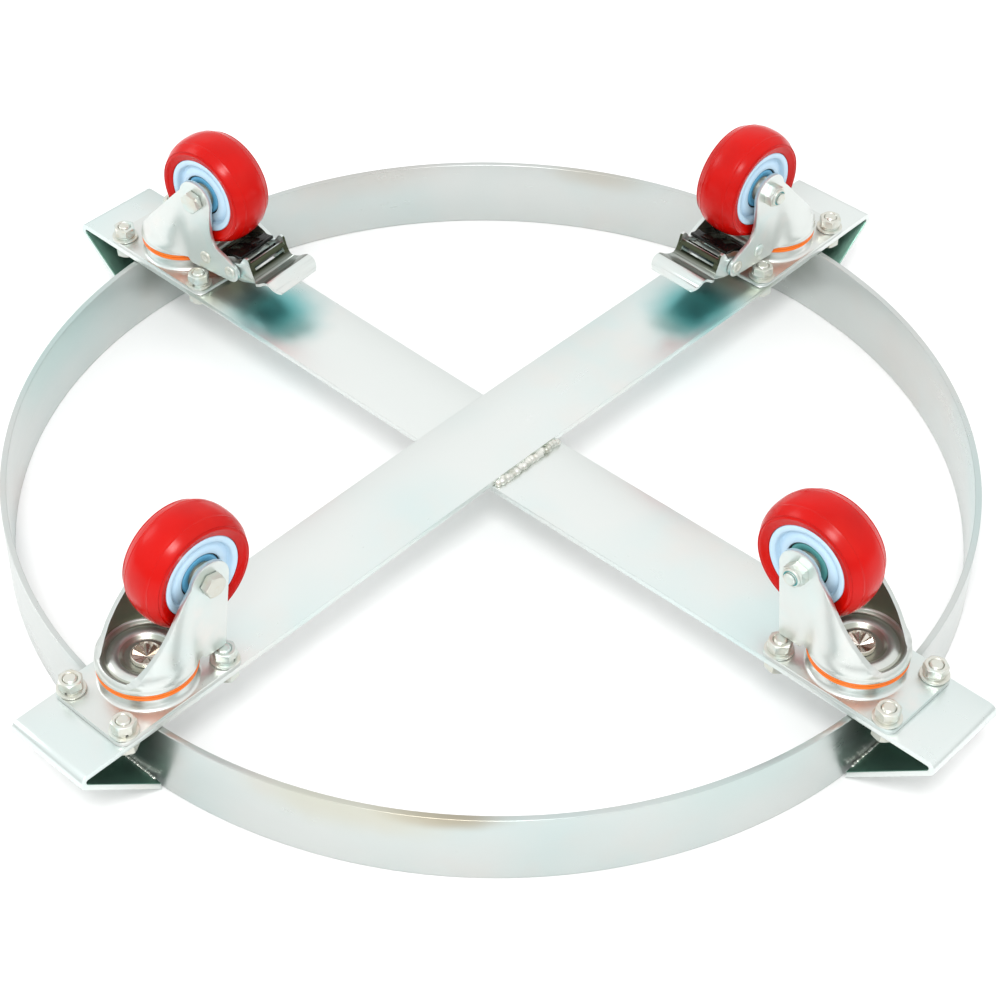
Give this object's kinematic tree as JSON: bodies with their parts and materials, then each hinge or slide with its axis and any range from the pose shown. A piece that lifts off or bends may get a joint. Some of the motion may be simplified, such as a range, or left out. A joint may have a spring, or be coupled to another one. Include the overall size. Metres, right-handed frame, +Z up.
{
  "type": "drum dolly",
  "caption": "Drum dolly: a zinc-plated steel ring on crossed flat bars, with red swivel castors at the bar ends, shown upside down; the rear pair has foot brakes.",
  "frame": {"origin": "on the floor at the centre of the drum ring, with the dolly stored upside down on the ring's rim and the castors up; it is turned over about X for use", "axes": "+Z up, from the ring's rim to the castors; X along the lower crossbar, Y along the upper crossbar; the braked castors are at -X and +Y"},
  "size_m": [0.716, 0.716, 0.1579],
  "materials": {
    "zinc_strip": "bright zinc-plated rolled strip",
    "zinc_pressing": "bright zinc-plated pressing",
    "weld_metal": "zinc-plated weld bead, rippled",
    "bright_fastener": "bright zinc-plated hexagon fasteners",
    "kingpin_steel": "pressed and riveted steel head",
    "ball_steel": "polished balls in a steel cage",
    "orange_seal": "moulded orange plastic ring",
    "red_tread": "glossy red polyurethane",
    "pale_core": "pale blue moulded plastic",
    "blue_seal": "blue bearing shield",
    "black_plate": "black stamped plate"
  },
  "bodies": {
    "frame": {"ring_band": "zinc_strip", "crossbar_lower": "zinc_strip", "crossbar_upper": "zinc_strip", "centre_weld": "weld_metal", "front_mounting_plate": "zinc_pressing", "front_plate_bolt_1": "bright_fastener", "front_plate_bolt_2": "bright_fastener", "front_plate_bolt_3": "bright_fastener", "front_plate_bolt_4": "bright_fastener", "front_kingpin": "kingpin_steel", "right_mounting_plate": "zinc_pressing", "right_plate_bolt_1": "bright_fastener", "right_plate_bolt_2": "bright_fastener", "right_plate_bolt_3": "bright_fastener", "right_plate_bolt_4": "bright_fastener", "right_kingpin": "kingpin_steel", "rear_mounting_plate": "zinc_pressing", "rear_plate_bolt_1": "bright_fastener", "rear_plate_bolt_2": "bright_fastener", "rear_plate_bolt_3": "bright_fastener", "rear_plate_bolt_4": "bright_fastener", "rear_kingpin": "kingpin_steel", "left_mounting_plate": "zinc_pressing", "left_plate_bolt_1": "bright_fastener", "left_plate_bolt_2": "bright_fastener", "left_plate_bolt_3": "bright_fastener", "left_plate_bolt_4": "bright_fastener", "left_kingpin": "kingpin_steel"},
    "front_swivel": {"front_swivel_balls": "ball_steel", "front_dust_seal": "orange_seal", "front_fork": "zinc_pressing", "front_axle": "bright_fastener"},
    "front_wheel": {"front_tread": "red_tread", "front_core": "pale_core", "front_bearing": "blue_seal"},
    "right_swivel": {"right_swivel_balls": "ball_steel", "right_dust_seal": "orange_seal", "right_fork": "zinc_pressing", "right_axle": "bright_fastener"},
    "right_wheel": {"right_tread": "red_tread", "right_core": "pale_core", "right_bearing": "blue_seal"},
    "rear_swivel": {"rear_swivel_balls": "ball_steel", "rear_dust_seal": "orange_seal", "rear_fork": "zinc_pressing", "rear_axle": "bright_fastener"},
    "rear_wheel": {"rear_tread": "red_tread", "rear_core": "pale_core", "rear_bearing": "blue_seal"},
    "rear_pedal": {"rear_brake_pedal": "zinc_pressing"},
    "rear_shoe": {"rear_brake_shoe": "black_plate"},
    "left_swivel": {"left_swivel_balls": "ball_steel", "left_dust_seal": "orange_seal", "left_fork": "zinc_pressing", "left_axle": "bright_fastener"},
    "left_wheel": {"left_tread": "red_tread", "left_core": "pale_core", "left_bearing": "blue_seal"},
    "left_pedal": {"left_brake_pedal": "zinc_pressing"},
    "left_shoe": {"left_brake_shoe": "black_plate"}
  },
  "joints": [
    {"name": "front_swivel_turn", "type": "hinge", "parent": "frame", "child": "front_swivel", "pos_m": [0, -0.282, 0.069], "axis": [0, 0, 1], "continuous": true},
    {"name": "front_wheel_roll", "type": "hinge", "parent": "front_swivel", "child": "front_wheel", "pos_m": [0.00116, -0.24882, 0.1204], "axis": [-0.9994, 0.0349, 0], "continuous": true},
    {"name": "right_swivel_turn", "type": "hinge", "parent": "frame", "child": "right_swivel", "pos_m": [0.282, 0, 0.069], "axis": [0, 0, 1], "continuous": true},
    {"name": "right_wheel_roll", "type": "hinge", "parent": "right_swivel", "child": "right_wheel", "pos_m": [0.2488, 0, 0.1204], "axis": [0, -1, 0], "continuous": true},
    {"name": "rear_swivel_turn", "type": "hinge", "parent": "frame", "child": "rear_swivel", "pos_m": [0, 0.282, 0.069], "axis": [0, 0, 1], "continuous": true},
    {"name": "rear_wheel_roll", "type": "hinge", "parent": "rear_swivel", "child": "rear_wheel", "pos_m": [-0.00087, 0.24881, 0.1204], "axis": [0.9997, -0.0262, 0], "continuous": true},
    {"name": "rear_pedal_press", "type": "hinge", "parent": "rear_swivel", "child": "rear_pedal", "pos_m": [-0.00161, 0.22052, 0.0753], "axis": [-0.9997, 0.0262, 0], "range_deg": [0, 12]},
    {"name": "rear_shoe_lift", "type": "hinge", "parent": "rear_swivel", "child": "rear_shoe", "pos_m": [-0.00103, 0.24251, 0.0773], "axis": [-0.9997, 0.0262, 0], "range_deg": [0, 7]},
    {"name": "left_swivel_turn", "type": "hinge", "parent": "frame", "child": "left_swivel", "pos_m": [-0.282, 0, 0.069], "axis": [0, 0, 1], "continuous": true},
    {"name": "left_wheel_roll", "type": "hinge", "parent": "left_swivel", "child": "left_wheel", "pos_m": [-0.24888, 0.00232, 0.1204], "axis": [-0.0698, 0.9976, 0], "continuous": true},
    {"name": "left_pedal_press", "type": "hinge", "parent": "left_swivel", "child": "left_pedal", "pos_m": [-0.22065, 0.00429, 0.0753], "axis": [0.0698, -0.9976, 0], "range_deg": [0, 12]},
    {"name": "left_shoe_lift", "type": "hinge", "parent": "left_swivel", "child": "left_shoe", "pos_m": [-0.2426, 0.00276, 0.0773], "axis": [0.0698, -0.9976, 0], "range_deg": [0, 7]}
  ],
  "couplings": [
    {"joint": "rear_shoe_lift", "follows": "rear_pedal_press", "ratio": 0.55},
    {"joint": "left_shoe_lift", "follows": "left_pedal_press", "ratio": 0.55}
  ]
}
